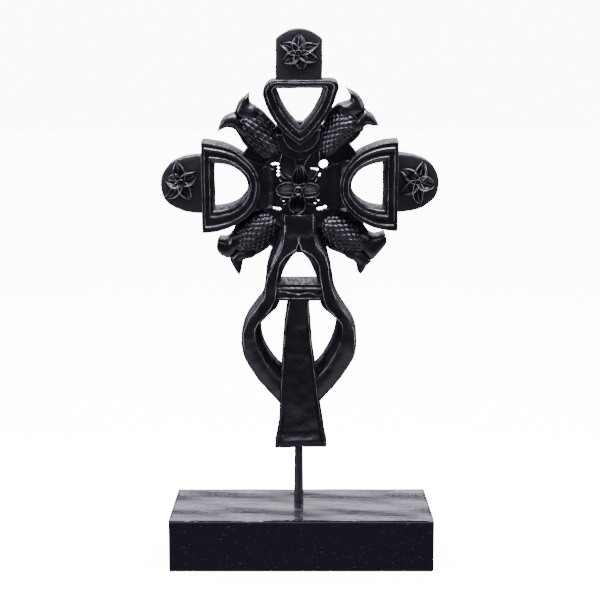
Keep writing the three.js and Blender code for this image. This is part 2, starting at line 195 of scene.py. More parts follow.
def laid(name, lattice):
    """Adds a grid and lays it on rows of points, then merges its seams and turns its faces out."""
    rows, columns = lattice.shape[:2]
    bpy.ops.object.select_all(action='DESELECT')
    bpy.ops.mesh.primitive_grid_add(x_subdivisions=columns - 1, y_subdivisions=rows - 1, size=1)
    piece = bpy.context.object
    piece.name = name
    if len(piece.data.vertices) != rows * columns:
        raise RuntimeError(f"{name}: the grid has {len(piece.data.vertices)} points")
    piece.data.vertices.foreach_set("co", np.ascontiguousarray(lattice, np.float32).ravel())
    bpy.ops.object.mode_set(mode='EDIT')
    bpy.ops.mesh.select_all(action='SELECT')
    bpy.ops.mesh.remove_doubles(threshold=0.004)
    bpy.ops.mesh.dissolve_degenerate(threshold=0.002)
    bpy.ops.mesh.normals_make_consistent(inside=False)
    bpy.ops.object.mode_set(mode='OBJECT')
    return piece


def closed(lattice):
    """Repeats the first row and the first column, for a form that closes both ways."""
    lattice = np.concatenate([lattice, lattice[:1]])
    return np.concatenate([lattice, lattice[:, :1]], axis=1)


def moulded_ring(name, outer, inner, profile):
    """A frame between two outlines, with its moulding's profile as (share inwards, level)."""
    p = np.array(profile)
    share = p[:, 0][None, :, None]
    plan = outer[:, None] * (1 - share) + inner[:, None] * share
    level = np.broadcast_to(p[:, 1][None, :, None], plan.shape[:2] + (1,))
    return laid(name, closed(np.concatenate([plan, level], axis=2)))


def gathered(name, outline, heart, profile):
    """Rings from an outline in to its heart, with the profile as (share inwards, level)."""
    lattice = []
    for share, level in profile:
        flat = outline * (1 - share) + np.array(heart, float) * share
        lattice.append(np.concatenate([flat, np.full((len(flat), 1), level)], axis=1))
    lattice = np.stack(lattice)
    return laid(name, np.concatenate([lattice, lattice[:, :1]], axis=1))


def capped(name, lattice):
    """Rows that each run round a long form, which is gathered to a point at both ends."""
    lattice = np.concatenate([lattice, lattice[:, :1]], axis=1)
    ends = [np.broadcast_to(row.mean(axis=0), lattice[:1].shape) for row in (lattice[0], lattice[-1])]
    return laid(name, np.concatenate([ends[0], lattice, ends[1]]))


def plate(name, outline, heart, level, edge=0.9, back=0.0, rings=8, lip=0.0):
    """A flat plate inside an outline, with an eased front edge or a fine raised lip along it."""
    near = edge / 20
    profile = [(1, back), (0, back), (0, level - edge), (near * 0.3, level - edge * 0.3), (near, level)]
    if lip:
        profile[4:] = [(near * 0.7, level + lip), (near * 1.4, level + lip), (near * 2.4, level)]
        near *= 2.4
    shares = np.linspace(0, 1, rings + 1)[1:]
    profile += [(share, level) for share in near + shares * (1 - near)]
    return gathered(name, outline, heart, profile)


def blade(name, left, right, top, back=0.0, across=12, crowded=0.0):
    """A long form between two edges from root to tip; top(s, t) gives the level of its front.

    s runs from the left edge to the right one and t from root to tip, both from 0 to 1. Crowded
    draws the columns of points towards the two edges.
    """
    rows = len(left)
    left, right = left.copy(), right.copy()
    # A pointed end is kept 0.3 mm wide, so that its faces don't fold.
    for k, near in ((0, 1), (-1, -2)):
        if np.hypot(*(left[k] - right[k])) < 0.3:
            way = left[k] + right[k] - left[near] - right[near]
            way = 0.15 * np.array([way[1], -way[0]]) / np.hypot(*way) * (1 if k else -1)
            left[k], right[k] = left[k] + way, right[k] - way
    columns = np.linspace(0, 1, across + 1)
    columns -= crowded * np.sin(2 * math.pi * columns) / (2 * math.pi)
    s, t = np.meshgrid(columns, np.linspace(0, 1, rows))
    plan = left[:, None] * (1 - s[..., None]) + right[:, None] * s[..., None]
    front = np.concatenate([plan, top(s, t)[..., None]], axis=2)
    under = np.concatenate([plan[:, [-1, 0]], np.full((rows, 2, 1), back)], axis=2)
    return capped(name, np.concatenate([front, under], axis=1))


def move(piece, at=(0, 0, 0), turn=0.0, mirror=False):
    """Turns a piece about the board's z and sets it in place, as one finished mesh."""
    matrix = Matrix.Translation(Vector(at)) @ Matrix.Rotation(turn, 4, 'Z')
    if mirror:
        matrix = matrix @ Matrix.Diagonal((1, -1, 1, 1))
    piece.matrix_world = matrix
    choose(piece)
    bpy.ops.object.transform_apply(location=True, rotation=True, scale=True)
    if mirror:
        bpy.ops.object.mode_set(mode='EDIT')
        bpy.ops.mesh.select_all(action='SELECT')
        bpy.ops.mesh.normals_make_consistent(inside=False)
        bpy.ops.object.mode_set(mode='OBJECT')
    return piece


def choose(*pieces):
    bpy.ops.object.select_all(action='DESELECT')
    for piece in pieces:
        piece.select_set(True)
    bpy.context.view_layer.objects.active = pieces[0]


def combine(whole, other, operation):
    """Adds or cuts another closed form with a Boolean modifier and removes it."""
    modifier = whole.modifiers.new("carving", 'BOOLEAN')
    modifier.operation = operation
    modifier.solver = 'MANIFOLD'
    modifier.object = other
    choose(whole)
    before = len(whole.data.polygons)
    bpy.ops.object.modifier_apply(modifier=modifier.name)
    if len(whole.data.polygons) == before:
        raise RuntimeError(f"{whole.name}: {operation} with {other.name} failed")
    bpy.data.objects.remove(other)
    return whole


def one_solid(name, pieces):
    """Unites closed forms two by two, so that one carved solid is left."""
    pieces = list(pieces)
    while len(pieces) > 1:
        pieces = [combine(a, b, 'UNION') for a, b in zip(pieces[::2], pieces[1::2])] + (
            [pieces[-1]] if len(pieces) % 2 else [])
    pieces[0].name = pieces[0].data.name = name
    return pieces[0]


def laid_in_metres(name, lattice):
    """The same as laid, for points in metres: laid merges points at a distance meant for millimetres."""
    piece = laid(name, lattice * TO_MILLIMETRES)
    piece.scale = (TO_METRES, TO_METRES, TO_METRES)
    choose(piece)
    bpy.ops.object.transform_apply(location=True, rotation=True, scale=True)
    return piece


def stood_up(piece):
    """Takes a finished form off the bench: the board is stood on the block and leaned."""
    sizes = bpy.context.scene.cross_sizes
    piece.matrix_world = (
        Matrix.Translation((0, sizes.behind, BLOCK_HIGH.z))
        @ Matrix.Rotation(math.pi / 2 + sizes.lean, 4, 'X')
        @ Matrix.Scale(TO_METRES, 4) @ Matrix.Translation((0, 0, -BOARD / 2)))
    choose(piece)
    bpy.ops.object.transform_apply(location=True, rotation=True, scale=True)
    return piece


def hand_cut(piece):
    """Moves the surface a little this way and that, as a knife strays from the drawn line."""
    cloud = bpy.data.textures.new("knife", 'CLOUDS')
    cloud.cloud_type = 'COLOR'
    cloud.noise_scale = 13
    cloud.noise_depth = 1
    modifier = piece.modifiers.new("hand wobble", 'DISPLACE')
    modifier.texture = cloud
    modifier.direction = 'RGB_TO_XYZ'
    modifier.mid_level = 0.5
    modifier.strength = bpy.context.scene.cross_sizes.wobble * 2 * TO_MILLIMETRES
    choose(piece)
    bpy.ops.object.modifier_apply(modifier=modifier.name)
    return piece


def measured_relief(piece, reach=2):
    """Stores how far each point stands out or lies back, so that the finish and the painted highlight on
    crests can follow the carving.
    """
    mesh = piece.data
    points = np.empty(len(mesh.vertices) * 3)
    mesh.vertices.foreach_get("co", points)
    points = points.reshape(-1, 3)
    mesh.calc_loop_triangles()
    tris = np.empty(len(mesh.loop_triangles) * 3, int)
    mesh.loop_triangles.foreach_get("vertices", tris)
    tris = tris.reshape(-1, 3)
    a, b, c = (points[tris[:, k]] for k in range(3))
    cross = np.cross(b - a, c - a)
    area = np.maximum(np.linalg.norm(cross, axis=1), 1e-9)
    normal = cross / area[:, None]
    face = np.tile(np.arange(len(tris)), 3)
    start = np.concatenate([tris[:, 0], tris[:, 1], tris[:, 2]])
    end = np.concatenate([tris[:, 1], tris[:, 2], tris[:, 0]])
    order = np.lexsort((np.maximum(start, end), np.minimum(start, end)))
    low, high = np.minimum(start, end)[order], np.maximum(start, end)[order]
    pair = np.flatnonzero((low[1:] == low[:-1]) & (high[1:] == high[:-1]))
    one, two, v, w = face[order][pair], face[order][pair + 1], low[pair], high[pair]
    across = points[tris[two]].mean(axis=1) - points[tris[one]].mean(axis=1)
    fold = np.arccos(np.clip((normal[one] * normal[two]).sum(axis=1), -1, 1))
    fold *= -np.sign((across * normal[one]).sum(axis=1))
    fold *= np.linalg.norm(points[v] - points[w], axis=1) / 2
    count = len(points)
    bend = np.bincount(v, fold, count) + np.bincount(w, fold, count)
    patch = sum(np.bincount(tris[:, k], area / 6, count) for k in range(3))
    valence = np.maximum(np.bincount(v, minlength=count) + np.bincount(w, minlength=count), 1)
    for _ in range(reach):
        bend, patch = ((x + (np.bincount(v, x[w], count) + np.bincount(w, x[v], count)) / valence) / 2
                       for x in (bend, patch))
    facing = np.empty(len(mesh.vertices) * 3)
    mesh.vertices.foreach_get("normal", facing)
    outwards = facing.reshape(-1, 3)[:, 2]
    ground = np.clip(1.6 - np.abs(points[:, 2] - TAB_GROUND), 0, 1) * np.clip(outwards * 5 - 3.5, 0, 1)
    ground *= (np.abs(points[:, 0]) > 70) | (points[:, 1] > 322)
    for key, value in (("wall", np.clip((0.55 - np.abs(outwards)) / 0.3, 0, 1)), ("ground", ground),
                       ("relief", np.clip(bend / np.maximum(patch, 1e-4), -3, 3))):
        mesh.attributes.new(key, 'FLOAT', 'POINT').data.foreach_set("value", value.astype(np.float32))
    return piece


def finished(piece, material, angle=32):
    choose(piece)
    bpy.ops.object.shade_smooth_by_angle(angle=math.radians(angle))
    piece.data.materials.clear()
    piece.data.materials.append(material)
    return piece


# The frames

# The moulding of the D frames and the triangle, as (share inwards, level).
FRAME_PROFILE = [
    (0, 0), (0, 23.2), (0.035, 24.3), (0.1, 24.4), (0.245, 24.5), (0.285, 25.5), (0.315, 24.4), (0.47, 24),
    (0.67, 24.3), (0.705, 25.2), (0.735, 24), (0.9, 23.4), (0.96, 22.6), (1, 21.6), (1, 0),
]


def d_outline(side, bar, reach, half, middle):
    edge = spaced(line((-bar, middle - half), (-bar, middle + half)), 25)[:-1]
    turn = np.linspace(math.pi / 2, -math.pi / 2, 65)[:-1]
    curve = np.stack([-bar + reach * np.cos(turn), middle + half * np.sin(turn)], axis=1)
    whole = np.vstack([edge, curve])
    return whole * [-side, 1]


def d_frames():
    left = moulded_ring("left_d", d_outline(-1, 71.4, 42.8, 33.2, 245.6),
                        d_outline(-1, 62.6, 24.8, 17, 246.6), eased(FRAME_PROFILE))
    right = moulded_ring("right_d", d_outline(1, 71.4, 42.4, 32.8, 246.6),
                         d_outline(1, 61.2, 23.4, 17, 247), eased(FRAME_PROFILE))
    return [left, right]


def triangle_outline(top, left, right, apex, bulge):
    def half(end, corner, count):
        sign = math.copysign(1, end)
        rounded = bow((end - sign * corner, top), (end, top), (end, top - corner), 10)
        side = bow((end, top - corner), (sign * bulge[0], bulge[1]), (0, apex), count)
        return np.vstack([rounded[:-1], side])
    a, b = half(*right, 40), half(*left, 40)[::-1]
    bar = spaced(line(b[-1], a[0]), 18)[1:-1]
    return np.vstack([a, b[1:], bar])


def triangle():
    return moulded_ring(
        "triangle", triangle_outline(323.2, (-26.6, 10.5), (28, 5.5), 277, (19.6, 289)),
        triangle_outline(317.2, (-16.6, 0.8), (16.2, 0.8), 290.4, (12.8, 301)), eased(FRAME_PROFILE))


def cups():
    """Two rounded Vs that step down from the triangle to the flower."""
    made = []
    for left, right, level in (
            ([(0.2, 265.4), (-7, 267.6), (-14, 272.6), (-17, 284)],
             [(0.2, 265.4), (3.4, 267.4), (9.6, 271), (14.6, 276), (17, 285)], 21.8),
            ([(0.2, 271.5), (-4.6, 273), (-8.8, 276), (-11.6, 281), (-13, 288)],
             [(0.2, 271.5), (7.4, 274), (12.4, 279), (15.4, 288)], 23.4)):
        left, right = flowing(left, 26), flowing(right, 26)
        across = spaced(line(right[-1], left[-1]), 10)[1:-1]
        outline = np.vstack([right, across, left[::-1][:-1]])
        made.append(plate("cup", outline, (0, 283), level, edge=0.6, lip=0.7))
    return made


# The tabs and their flowers

def side_tab(side, reach, low, middle, high):
    """A tab with a round end, drawn as two quarters; full is how far their handles reach."""
    full = 0.64
    t = np.linspace(0, 1, 30)[:, None]

    def quarter(edge):
        a = np.array([side * TAB_ROOT, edge])
        b = np.array([side * (TAB_ROOT + full * reach), edge])
        c = np.array([side * (TAB_ROOT + reach), middle + full * (edge - middle)])
        d = np.array([side * (TAB_ROOT + reach), middle])
        return spaced((1 - t)**3 * a + 3 * t * (1 - t)**2 * b + 3 * t**2 * (1 - t) * c + t**3 * d, 26)
    up, down = quarter(high), quarter(low)
    base = spaced(line(up[0], down[0]), 10)[1:-1]
    outline = np.vstack([down, up[::-1][1:], base])
    return plate("side_tab", outline, (side * (TAB_ROOT + 11), middle), TAB_GROUND)


def top_tab():
    left, right, foot, shoulder, arch = -17.2, 16.2, 318, 351.2, 23
    middle = (left + right) / 2
    spread = math.asin((right - left) / 2 / arch)
    turn = np.linspace(math.pi / 2 - spread, math.pi / 2 + spread, 22)
    low = shoulder - arch * math.cos(spread)
    end = np.stack([middle + arch * np.cos(turn), low + arch * np.sin(turn)], axis=1)
    sides = [spaced(line((left, shoulder), (left, foot)), 14)[1:],
             spaced(line((left, foot), (right, foot)), 12)[1:],
             spaced(line((right, foot), (right, shoulder)), 14)[1:-1]]
    return plate("top_tab", np.vstack([end] + sides), (middle, 338), TAB_GROUND)


def petal(place, angle, length, width, base, rise, veins=3, curl=0.0, broad=0.45, cut=0.16):
    """A pointed, dished petal with a thin raised rim, a few veins and a tip that curls to one side."""
    t = np.linspace(0, 1, 30)
    half = width / 2 * (0.35 * (1 - t)**2 + np.sin(np.pi * t**(math.log(0.5) / math.log(broad)))**0.75)
    half[-1] = 0
    bend = curl * length * np.clip(t - 0.5, 0, 1)**2
    axis = np.stack([t * length, bend], axis=1)
    left = axis + np.stack([0 * t, -half], axis=1)
    right = axis + np.stack([0 * t, half], axis=1)

    def top(s, t):
        side = np.abs(2 * s - 1)
        body = 0.5 + 0.5 * np.sin(np.pi * np.clip(t * 0.8 + 0.14, 0, 1))
        rim = np.exp(-((side - 0.86) / 0.1)**2)
        dish = 0.62 + 0.2 * side**2 + 0.3 * rim - 0.35 * np.clip((side - 0.9) / 0.1, 0, 1)
        vein = cut * np.cos(2 * np.pi * veins * (s - 0.5)) * np.sin(np.pi * np.clip(t * 1.15, 0, 1))
        return base + rise * body * (dish + vein * (side < 0.8)) - 0.3 * rise * t**4
    leaf = blade("petal", left, right, top, back=base - 1.5, across=26, crowded=0.35)
    return move(leaf, (place[0], place[1], 0), math.radians(angle))


def button(place, radius, base, top):
    """A round seed with a hollow middle."""
    profile = [(1, base - 1), (0, base - 1), (0, base + (top - base) * 0.5), (0.14, top - 0.7),
               (0.28, top), (0.42, top - 0.5), (0.6, top - 1.2), (0.8, top - 0.6), (1, top - 0.4)]
    turn = np.linspace(0, 2 * math.pi, 25)[:-1]
    ring = np.stack([place[0] + radius * np.cos(turn), place[1] + radius * np.sin(turn)], axis=1)
    return gathered("button", ring, place, profile)


def flower(place, petals):
    """A flower on a tab, with a seed in its middle."""
    made = [petal(place, *one[:3], FLOWER_BASE, PETAL_RISE, curl=one[3]) for one in petals]
    return made + [button(place, SEED_RADIUS, FLOWER_BASE, FLOWER_BASE + SEED_HEIGHT)]


# Each petal is its direction in degrees, its length, its width and its curl.
LEFT_FLOWER = [(101, 15.4, 8.6, 0.1), (172, 11.4, 10.5, 0), (237, 16.8, 7.4, -0.9), (296, 14.6, 8.6, 0.2),
               (20, 13.4, 9.4, 0.9)]
RIGHT_FLOWER = [(70, 15.6, 8.4, 0.3), (347, 13.2, 11, 0), (273, 17.8, 8, 0.5), (221, 15, 8.6, -0.5),
                (137, 15.2, 8.6, 0.6)]
TOP_FLOWER = [(89, 13.6, 10, 0), (145, 14, 8, 0.6), (214, 13, 9, -0.4), (284, 11.8, 10, 0),
              (334, 15, 8, 0.4), (29, 14.6, 8, -0.6)]


# The buds

# A place on a bud is (distance out from its root, distance to the side). Both sides run from the
# root to the tip of a horn, and the end runs from the minus tip over the notch to the plus tip, with
# the notch as its point number NOTCH. Across and rows count the rows of scales round and along a bud.
BUDS = [
    dict(root=(-15.8, 268), angle=134, mirror=True, across=9.5, rows=3.8,
         plus=[(0, 9), (9, 12.2), (16.7, 13.3), (23.6, 13.7), (30.3, 13.8), (35.4, 12.8), (39.4, 11.6),
               (41.8, 11.8), (44, 13.2), (47, 16.5)],
         minus=[(0, -9), (9, -11.8), (17, -12.4), (24.9, -11.7), (31, -10.2), (35, -9.1), (38.4, -10.2),
                (41.4, -13), (43.2, -19.4)],
         end=[(43.2, -19.4), (46, -14.3), (47, -10.1), (46.2, -6), (43.8, -1), (46.2, 2.5), (47.5, 7.6),
              (47.2, 12), (47, 16.5)]),
    dict(root=(14.9, 269), angle=49, mirror=False, across=7.8, rows=7.2,
         plus=[(0, 9), (9, 11.6), (20.3, 12.8), (24, 14.3), (28, 14.9), (33.6, 14.1), (38.3, 12.1),
               (42.2, 9.6), (44.8, 9.8), (46.3, 12), (48.4, 17.2)],
         minus=[(0, -9), (8, -9.9), (16.2, -11), (22.7, -12.2), (28.2, -12.6), (32.8, -11.9),
                (36.4, -10.9), (39.2, -12.4), (41, -15.4), (44, -17.8)],
         end=[(44, -17.8), (45.6, -14.4), (46.3, -10.5), (45.8, -6.5), (45.6, -3), (48.4, 1), (49.7, 4.9),
              (50, 9.5), (48.4, 17.2)]),
    dict(root=(-18.1, 225.4), angle=226, mirror=False, across=8, rows=6.6,
         plus=[(0, 9), (10, 12.9), (21.9, 14.1), (24.3, 14), (29.1, 13), (34.1, 11.2), (38.6, 8.4),
               (41.4, 7.3), (44, 8.6), (48, 11), (51.5, 12.5)],
         minus=[(0, -9), (10, -12.9), (18, -15), (23.8, -15.4), (27.9, -14.4), (32.8, -12.5),
                (36.6, -12.1), (39.7, -13.6), (42.3, -16.3), (45.4, -15.8)],
         end=[(45.4, -15.8), (47.7, -14.2), (49.5, -11.1), (49.4, -6.4), (46.9, -1.1), (49, 2.2),
              (50.6, 7), (51.5, 12.5)]),
    dict(root=(15.9, 222.8), angle=319, mirror=True, across=7.4, rows=6.4,
         plus=[(0, 9), (10, 13), (19.9, 14.4), (24, 13.3), (28.6, 11.8), (33.2, 10.3), (38, 8.7),
               (41, 8.5), (44.1, 10.4), (46.4, 12.4), (49.5, 13.1)],
         minus=[(0, -9), (10, -13), (18, -15.4), (23, -16), (27.2, -15.8), (31.6, -14.5), (35.5, -13.7),
                (38.5, -14.8), (41, -17.4), (43.6, -21.2)],
         end=[(43.6, -21.2), (47.1, -19.3), (49.2, -16.1), (49.6, -8), (48.4, -0.4), (49, 5), (49.8, 9.2),
              (49.5, 13.1)]),
]
NOTCH = 4
CROWN_END = 38
CROWN_LIFT = 8
CROWN_HEIGHT = 16.8
HORN_START = 26


def bud_sides(one):
    """The distances out of a crown's rows, and the low and the high side of the bud at each."""
    out = np.linspace(0, 1, 122) * CROWN_END
    smooth = [flowing(one[side], 200) for side in ("plus", "minus")]
    high, low = (np.interp(out, side[:, 0], side[:, 1]) for side in smooth)
    return out, low, high


def bud_crown(one):
    """The swelling front of a bud, under crossing rows of scales."""
    depth = bpy.context.scene.cross_sizes.scale_depth * TO_MILLIMETRES
    out, low, high = bud_sides(one)
    half, middle = (high - low) / 2 - 0.3, (high + low) / 2
    dome = 1 - 0.3 * np.clip((out - 26) / 12, 0, 1)**2 - 0.35 * np.clip((9 - out) / 9, 0, 1)**2
    turn = np.linspace(-math.pi / 2, math.pi / 2, 79)
    reach, around = np.meshgrid(half, turn, indexing='ij')
    along = np.broadcast_to(out[:, None], reach.shape)
    # Rows rise and fall round the bud, and each scale is a pillow where two of them cross.
    rising = around / math.pi * one["across"] + along / CROWN_END * one["rows"]
    falling = -around / math.pi * one["across"] + along / CROWN_END * one["rows"]
    rising, falling = rising - np.floor(rising), falling - np.floor(falling)
    pillow = (np.sin(np.pi * rising) * np.sin(np.pi * falling))**0.5
    scale = pillow * (0.45 + 0.55 * (rising + falling) / 2)
    # The scales fade out before the horns and at both sides.
    fade = np.clip((CROWN_END - 1 - along) / 3, 0, 1) * np.clip(np.cos(around) * 5, 0, 1)
    cut = depth * (1 - scale) * fade
    crown = np.stack([along, middle[:, None] + (reach - cut) * np.sin(around),
                      CROWN_LIFT + (CROWN_HEIGHT * dome[:, None] - cut) * np.cos(around)], axis=2)
    under = crown[:, [-1, 0]]
    under[..., 2] = 0.2
    return capped("crown", np.concatenate([crown, under], axis=1))


def bud_barrel(one):
    """The body under a crown, down to the back of the board."""
    out, low, high = bud_sides(one)
    left, right = (np.stack([out, edge], axis=1)[::6] for edge in (low, high))
    return blade("barrel", left, right, lambda s, t: 13.6 - 1.2 * np.abs(2 * s - 1)**6)


def bud_horns(one):
    """The two curled tips of a bud, parted by a crease that runs into the notch."""
    plus, minus, end = (line(*one[key]) for key in ("plus", "minus", "end"))
    crease = line((HORN_START, 0), (34, end[NOTCH][1] * 0.4), (40, end[NOTCH][1] * 0.8))
    outer_root, inner_root = (HORN_START, minus[:, 1].min() * 0.55), (HORN_START, plus[:, 1].max() * 0.55)
    outer_side = flowing(np.vstack([[outer_root], minus[minus[:, 0] > 32]]), 44)
    inner_side = flowing(np.vstack([[inner_root], plus[plus[:, 0] > 32]]), 44)
    to_outer = flowing(np.vstack([crease, end[:NOTCH + 1][::-1]]), 44)
    to_inner = flowing(np.vstack([crease, end[NOTCH:]]), 44)

    def top(s, t):
        round_over = np.clip(1 - (2 * s - 1)**2, 0, 1)**0.45
        foot = 12 + 4.6 * np.clip(t / 0.4, 0, 1)**0.7
        return foot + (6 - 2.4 * t) * round_over - 0.8 * t**3
    return [blade("horn", left, right, top, across=22, crowded=0.6)
            for left, right in ((outer_side, to_outer), (to_inner, inner_side))]


def bud(one):
    """A bud in its place on the board."""
    forms = [bud_crown(one), bud_barrel(one)] + bud_horns(one)
    return [move(form, (*one["root"], 0), math.radians(one["angle"]), one["mirror"]) for form in forms]


# The middle

def ring_points(radius, count):
    turn = np.linspace(0, 2 * math.pi, count + 1)[:-1]
    return np.stack([radius * np.cos(turn), CROSS_MIDDLE + radius * np.sin(turn)], axis=1)


def web():
    """The thin web round the flower, and a wider disc behind it that leaves the D openings clear."""
    heart = (0, CROSS_MIDDLE)
    front = plate("web", ring_points(31, 72), heart, 20, rings=12)
    behind = plate("backing", ring_points(48.4, 96), heart, 14, rings=6)
    for side, bar, reach, half, middle in ((-1, 62.6, 27.8, 20, 246.6), (1, 61.2, 26.4, 20, 247)):
        opening = plate("opening", d_outline(side, bar, reach, half, middle), (side * (bar - 8), middle),
                        40, back=-10, rings=2)
        behind = combine(behind, opening, 'DIFFERENCE')
    return [front, behind]


def neck(side):
    """A hollow panel between the flower and a D frame, with a fine lip above and below it."""
    if side < 0:
        far, near = ((-37.5, 226.2), (-37.5, 266.2)), ((-19, 230.6), (-19, 259.4))
    else:
        far, near = ((35.5, 228), (35.5, 266)), ((19, 229.6), (19, 260.4))
    left, right = (far, near) if side < 0 else (near, far)
    left, right = spaced(line(*left), 60), spaced(line(*right), 60)

    def top(s, t):
        dish = 1 - np.sin(np.pi * s)**1.4
        lip = np.exp(-((t - 0.025) / 0.016)**2) + np.exp(-((t - 0.975) / 0.016)**2)
        return 18.4 + 3.4 * dish + 1.5 * np.clip(lip, 0, 1)
    return blade("neck", left, right, top, across=20)


def lobe(t):
    """One broad leaf of the centre flower, from its root (t = 0) to its end (t = 1)."""
    length, width = 16.4, 13.4
    half = width / 2 * np.sqrt(np.clip(1 - (t * 1.5 - 0.5)**2, 0, 1)) * (0.55 + 0.45 * t**0.3)
    half[0], half[-1] = 2.5, 0
    axis = np.stack([t * length, 0 * t], axis=1)
    out = np.stack([0 * t, half], axis=1)

    def top(s, t):
        edge = np.abs(2 * s - 1)
        rim = np.exp(-((edge - 0.9) / 0.07)**2)
        vein = 0.35 * np.cos(2 * np.pi * 4 * s) * (edge < 0.8) * np.sin(np.pi * np.clip(t, 0, 1))
        return 21.4 + 1.4 * rim + vein + 0.4 * t - 1.2 * np.clip((edge - 0.93) / 0.07, 0, 1)
    return blade("lobe", axis - out, axis + out, top, back=17, across=34, crowded=0.4)


def centre_flower():
    """Two broad leaves, a petal up and one down, two behind the upper one, four low ones and a seed."""
    place = (-1.1, 243.9)
    made = [move(lobe(np.linspace(0, 1, 30)), (*place, 0), math.radians(angle)) for angle in (180, 0)]
    made.append(petal(place, 266, 18.2, 13.6, 19.4, 4.8, veins=5, broad=0.6, cut=0.22))
    made.append(petal((0.4, 246), 90, 17.4, 11, 19, 5.6, veins=4, broad=0.4, cut=0.26))
    made.append(petal((-8.4, 252), 92, 22.6, 12.5, 18.6, 3.4, veins=1, curl=0.2))
    made.append(petal((6.4, 252), 76, 23, 10.5, 18.6, 3.4, veins=1, curl=-0.2))
    for angle, length in ((141, 20), (38, 20), (218, 19), (322, 19.5)):
        made.append(petal(place, angle, length, 8, 18.2, 2.6, veins=2, curl=0.2))
    made.append(button(place, 3.5, 20, 25.8))
    return made


# Each opening of the web is pricked out with a few turns of a drill: x, y and radius.
WIDE_DRILL = 3
OPENINGS = (
    ((-19.5, 262.6, 1.4), (-17.9, 262.9, 1.5), (-16.1, 262.6, 1.6), (-15.4, 259.9, 1.4),
     (-15.5, 257.3, 1.4), (-15.5, 254.6, 1.5)),
    ((17.2, 262.7, 3.5), (8.8, 259.4, 1.1), (10.8, 259.1, 1.2), (12.7, 258.7, 1.5),
     (14.7, 255.3, 1), (14.2, 254.2, 1)),
    ((-18.6, 230.2, 1.4), (-16.6, 229.7, 1.5), (-14.8, 229.5, 1.6), (-11.7, 235.1, 0.8)),
    ((13.8, 229.8, 1.8), (15.9, 230.2, 2), (18.3, 231.1, 1.9), (13.6, 235.8, 0.9), (11.2, 233.9, 0.9)),
)


def drilled(middle):
    """Drills the openings: each turn of the drill goes through, and is widened from the back."""
    drills = []
    for x, y, radius in (turn for turns in OPENINGS for turn in turns):
        behind = radius + (3 if radius < WIDE_DRILL else 1.4)
        before = radius * (0.8 if radius < WIDE_DRILL else 0.92)
        for wide, low, high in ((behind, -10, 15), (before, 14, 40)):
            bpy.ops.object.select_all(action='DESELECT')
            bpy.ops.mesh.primitive_cylinder_add(
                vertices=24, radius=wide, depth=high - low, location=(x, y, (low + high) / 2))
            drills.append(bpy.context.object)
            bpy.ops.object.transform_apply(location=True)
    return combine(middle, one_solid("drills", drills), 'DIFFERENCE')


# The upright

# Each side of the A runs on into the loop as one band. Its outer edge is traced from the neck to the
# foot of the loop, and its inner edge goes round both holes. Both edges are stepped alike between the
# breaks, BAND_STEPS at a time. Lines give, at BAND_ROWS, the shares across the band at which its outer
# and its inner line run.
BAND_STEPS = (20, 44, 14, 110)
BAND_ROWS = (0, 14, 20, 31, 42, 53, 64, 78, 96)
BANDS = [
    dict(outer=[(-15.1, 226), (-14.8, 214), (-17.6, 205), (-21, 197), (-24, 187.4), (-25.6, 177),
                (-26.6, 169), (-28, 163.4), (-33.5, 156), (-39.7, 147), (-43.3, 137), (-43.7, 125),
                (-40.7, 113.6), (-30.5, 97.6), (-17.1, 82), (1, 63.6)],
         breaks=[(-17.6, 205), (-26.6, 169), (-28, 163.4)],
         head=(0.6, 226), apex=(-0.2, 199.6), pull=(-11, 190), foot=(-14.4, 174.8),
         hole=[(-14.1, 162.2), (-16.5, 155.4), (-23.3, 149), (-28.3, 143.6), (-29.3, 137),
               (-27.1, 126.4), (-21.5, 116), (-13.9, 107), (1, 95.6)],
         lines=((0.25, 0.27, 0.29, 0.34, 0.31, 0.12, 0.1, 0.13, 0.12),
                (0.99, 0.99, 0.86, 0.68, 0.61, 0.69, 0.74, 0.72, 0.72))),
    dict(outer=[(13.9, 226), (13.6, 214), (16.4, 205.6), (19.9, 198.4), (22.4, 189.7), (24.1, 180.3),
                (25, 173.3), (26.4, 168), (28.4, 163.6), (32.5, 156.2), (38.7, 147), (42.3, 137),
                (42.7, 125), (39.7, 113.6), (29.5, 97.6), (16.1, 82), (-1.5, 63.6)],
         breaks=[(16.4, 205.6), (26.4, 168), (28.4, 163.6)],
         head=(-1.8, 226), apex=(-1, 199.6), pull=(9.8, 190), foot=(13.2, 174.8),
         hole=[(14.1, 162.2), (16.3, 155.8), (23.1, 150), (27.5, 144.8), (26.3, 134), (20.9, 121),
               (13.5, 110), (-1.5, 95.6)],
         lines=((0.25, 0.26, 0.26, 0.16, 0.125, 0.19, 0.16, 0.13, 0.12),
                (0.99, 0.99, 0.86, 0.64, 0.57, 0.69, 0.75, 0.72, 0.72))),
]


